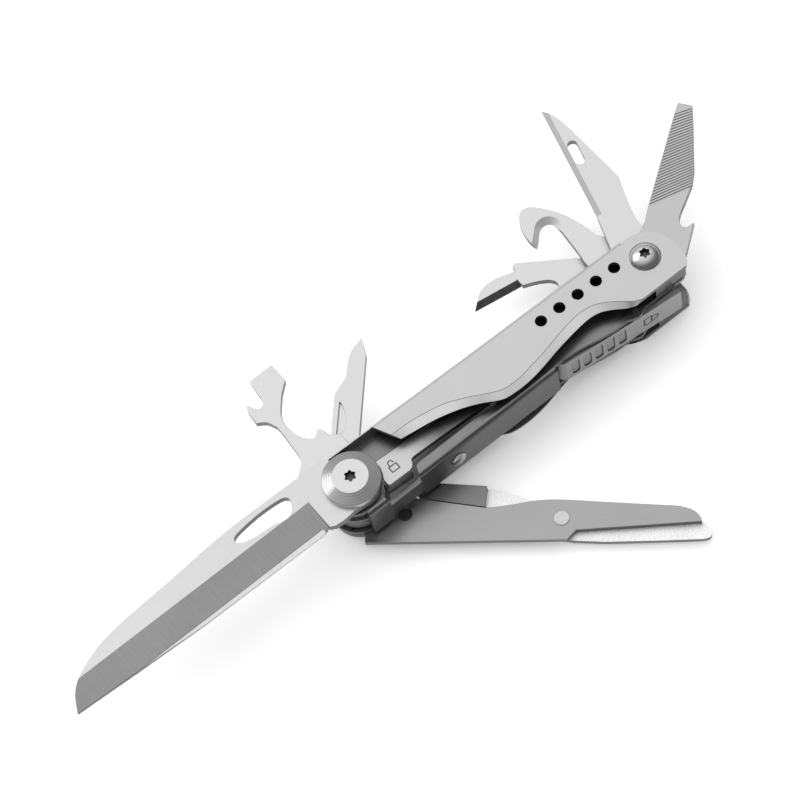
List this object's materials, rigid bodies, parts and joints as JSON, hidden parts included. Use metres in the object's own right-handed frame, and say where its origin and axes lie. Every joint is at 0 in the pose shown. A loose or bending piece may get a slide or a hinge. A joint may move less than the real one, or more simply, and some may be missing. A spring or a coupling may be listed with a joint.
{
  "type": "folding multi tool",
  "caption": "Folding pocket multi tool with a channel handle, an outside lock blade, outside scissors and small tools that swing from a pivot at each end.",
  "frame": {"origin": "axis of the main pivot, in the plane of the back face that the tool lies on", "axes": "+X along the handle from the main pivot to the tool pivot; +Y towards the side on which the small tools swing out; +Z out of the front face"},
  "size_m": [0.2191, 0.1166, 0.024],
  "materials": {
    "scale_sheet": "satin, finely blasted",
    "channel_sheet": "satin, finely brushed",
    "blade": "satin with a brushed grind",
    "tool": "satin",
    "file_face": "satin with cut teeth",
    "scissors_plate": "satin",
    "frosted": "frosted, finely speckled",
    "turned": "turned, with fine rings",
    "hardware": "machined",
    "lock_sheet": "satin"
  },
  "bodies": {
    "handle": {"channel_frame": "channel_sheet", "front_scale": "scale_sheet", "back_scale": "scale_sheet", "front_spacer": "channel_sheet", "back_spacer": "channel_sheet", "main_barrel": "turned", "main_bolt": "turned", "tool_barrel": "turned", "tool_screw": "turned", "knife_washer": "hardware", "scissors_washer": "hardware", "main_bushes": "hardware", "tool_washers": "hardware", "tool_spring": "hardware", "web_rivet": "hardware", "lever_pin": "hardware"},
    "knife": {"main_knife": "blade"},
    "scissors": {"scissors_body": "scissors_plate", "scissors_rivet": "hardware", "scissors_spring": "hardware"},
    "scissors_leaf": {"scissors_blade": "frosted"},
    "opener": {"bottle_opener": "tool"},
    "driver": {"screwdriver": "tool"},
    "pen_blade": {"small_knife": "tool"},
    "hook": {"strap_hook": "tool"},
    "can_hook": {"can_opener": "tool"},
    "file_tool": {"file": "file_face"},
    "rocker": {"rocker_lock": "channel_sheet"},
    "front_leaf": {"front_leaf_lock": "lock_sheet"},
    "back_leaf": {"back_leaf_lock": "lock_sheet"}
  },
  "joints": [
    {"name": "knife_fold", "type": "hinge", "parent": "handle", "child": "knife", "pos_m": [0, 0, 0.0185], "axis": [0, 0, 1], "range_deg": [0, 180]},
    {"name": "scissors_fold", "type": "hinge", "parent": "handle", "child": "scissors", "pos_m": [0, 0, 0.004], "axis": [0, 0, 1], "range_deg": [-136, 44]},
    {"name": "scissors_cut", "type": "hinge", "parent": "scissors", "child": "scissors_leaf", "pos_m": [0.03563, -0.0358, 0.0024], "axis": [0, 0, 1], "range_deg": [-18, 0]},
    {"name": "opener_fold", "type": "hinge", "parent": "handle", "child": "opener", "pos_m": [0, 0, 0.00995], "axis": [0, 0, 1], "range_deg": [-90, 90]},
    {"name": "driver_fold", "type": "hinge", "parent": "handle", "child": "driver", "pos_m": [0, 0, 0.0078], "axis": [0, 0, 1], "range_deg": [-50, 130]},
    {"name": "small_knife_fold", "type": "hinge", "parent": "handle", "child": "pen_blade", "pos_m": [0.0925, -0.0013, 0.01215], "axis": [0, 0, 1], "range_deg": [-80, 100]},
    {"name": "hook_fold", "type": "hinge", "parent": "handle", "child": "hook", "pos_m": [0.0925, -0.0013, 0.00985], "axis": [0, 0, 1], "range_deg": [-110, 70]},
    {"name": "can_opener_fold", "type": "hinge", "parent": "handle", "child": "can_hook", "pos_m": [0.0925, -0.0013, 0.00755], "axis": [0, 0, 1], "range_deg": [-140, 40]},
    {"name": "file_fold", "type": "hinge", "parent": "handle", "child": "file_tool", "pos_m": [0.0925, -0.0013, 0.01445], "axis": [0, 0, 1], "range_deg": [-35, 145]},
    {"name": "rocker_press", "type": "hinge", "parent": "handle", "child": "rocker", "pos_m": [0.0823, -0.0095, 0.011], "axis": [0, 0, 1], "range_deg": [0, 5]},
    {"name": "front_leaf_flex", "type": "hinge", "parent": "handle", "child": "front_leaf", "pos_m": [0.041, 0, 0.0164], "axis": [0, 1, 0], "range_deg": [-3.6, 0]},
    {"name": "back_leaf_flex", "type": "hinge", "parent": "handle", "child": "back_leaf", "pos_m": [0.041, 0, 0.0056], "axis": [0, 1, 0], "range_deg": [-2.2, 0.7]}
  ],
  "couplings": [
    {"joint": "front_leaf_flex", "follows": "knife_fold", "ratio": -0.0195},
    {"joint": "back_leaf_flex", "follows": "scissors_fold", "ratio": 0.0154}
  ]
}
